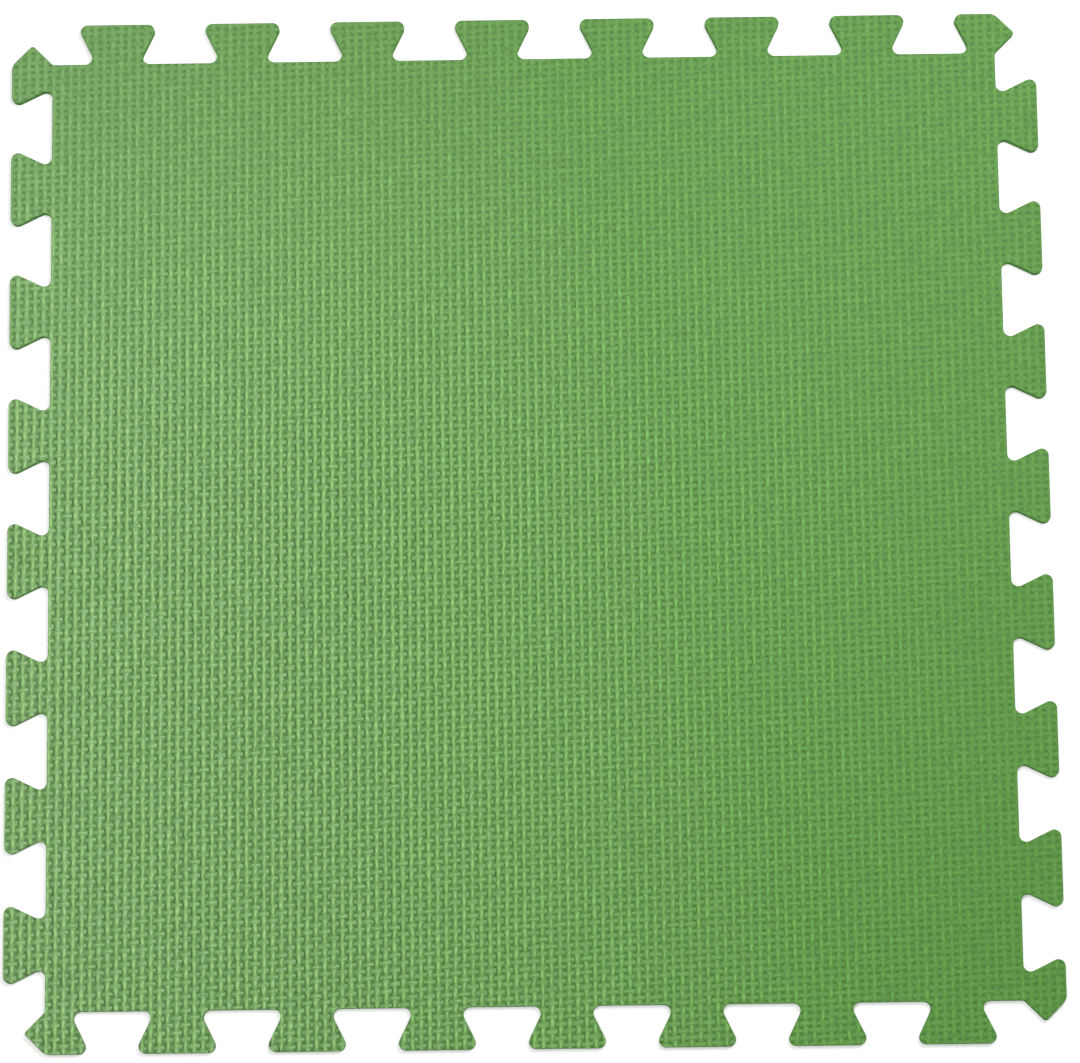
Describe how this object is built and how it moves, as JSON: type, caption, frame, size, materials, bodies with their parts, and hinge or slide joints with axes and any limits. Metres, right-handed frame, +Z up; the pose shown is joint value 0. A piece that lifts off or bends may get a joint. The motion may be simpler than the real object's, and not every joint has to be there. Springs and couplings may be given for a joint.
{
  "type": "pool floor tile",
  "caption": "Thin square foam floor tile with a woven relief on top and dovetail tabs and sockets on all four edges, so that equal tiles lock together.",
  "frame": {"origin": "centre of the square tile, on its underside", "axes": "+Z up out of the woven upper face; +X and +Y square to two neighbouring edges, with the +Y edge's pointed corner tab at its +X end"},
  "size_m": [0.5206, 0.5206, 0.004],
  "materials": {
    "foam": "matte"
  },
  "bodies": {
    "root": {"floor_tile": "foam"}
  },
  "joints": []
}
